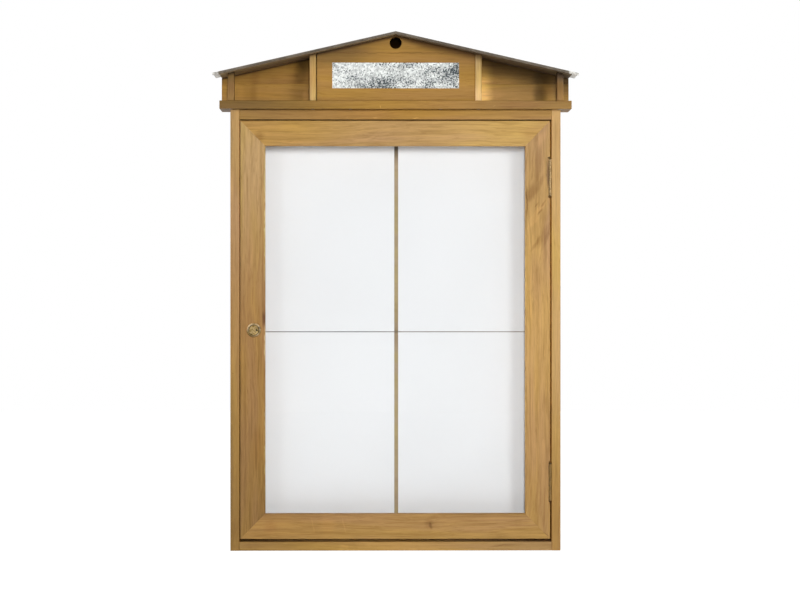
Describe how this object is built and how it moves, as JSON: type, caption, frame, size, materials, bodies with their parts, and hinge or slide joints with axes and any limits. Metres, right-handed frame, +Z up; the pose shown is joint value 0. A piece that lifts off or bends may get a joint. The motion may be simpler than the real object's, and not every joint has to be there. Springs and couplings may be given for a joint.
{
  "type": "information display case",
  "caption": "Wall-hung wooden information display case with a glazed, lockable hinged door, a ledge and a small gabled metal roof.",
  "frame": {"origin": "centre of the four wall screw holes, on the wall plane behind the case", "axes": "+X to the right as seen from the front, +Y into the wall, +Z up; the door faces -Y"},
  "size_m": [0.5634, 0.088, 0.8022],
  "materials": {
    "case_wood": "oiled hardwood, satin",
    "door_wood": "oiled hardwood, satin",
    "gable_wood": "oiled hardwood, satin",
    "pale_wood": "oiled hardwood, satin",
    "panel_ply": "plain plywood, matt",
    "zinc": "galvanised",
    "brass": "satin brass",
    "card": "white card, matt",
    "pane": "clear"
  },
  "bodies": {
    "case": {"side_left": "case_wood", "side_right": "case_wood", "top_board": "case_wood", "bottom_board": "case_wood", "ledge": "case_wood", "gable_back_lower": "gable_wood", "gable_back_upper": "gable_wood", "post_outer_left": "gable_wood", "post_inner_left": "gable_wood", "post_inner_right": "gable_wood", "post_outer_right": "gable_wood", "name_board": "gable_wood", "door_stop_upper": "pale_wood", "door_stop_lower": "pale_wood", "back_panel": "panel_ply", "roof_board_left": "panel_ply", "roof_board_right": "panel_ply", "roof_sheet": "zinc", "roof_nails": "zinc", "name_plate": "zinc", "plate_pins": "zinc", "ledge_screws": "zinc", "gable_screws": "zinc", "back_panel_nails": "zinc", "case_screws": "brass", "hinge_leaf_case_upper": "brass", "hinge_leaf_case_lower": "brass", "hinge_pin_upper": "brass", "hinge_pin_lower": "brass", "hinge_screws_case": "brass", "lock_keep": "brass", "keep_screws": "brass", "sheet_top_left": "card", "sheet_top_right": "card", "sheet_bottom_left": "card", "sheet_bottom_right": "card"},
    "door": {"door_stile_left": "door_wood", "door_stile_right": "door_wood", "door_rail_top": "door_wood", "door_rail_bottom": "door_wood", "door_glass": "pane", "bead_left": "pale_wood", "bead_right": "pale_wood", "bead_top": "pale_wood", "bead_bottom": "pale_wood", "bead_pins": "zinc", "hinge_leaf_door_upper": "brass", "hinge_leaf_door_lower": "brass", "hinge_screws_door": "brass", "lock_body": "brass", "lock_nut": "brass"},
    "lock": {"lock_plug": "brass", "lock_cam": "zinc", "cam_screw": "zinc"}
  },
  "joints": [
    {"name": "door_swing", "type": "hinge", "parent": "case", "child": "door", "pos_m": [0.23975, -0.056, 0], "axis": [0, 0, 1], "range_deg": [0, 175]},
    {"name": "lock_turn", "type": "hinge", "parent": "door", "child": "lock", "pos_m": [-0.2197, -0.056, 0], "axis": [0, -1, 0], "range_deg": [0, 90]}
  ]
}
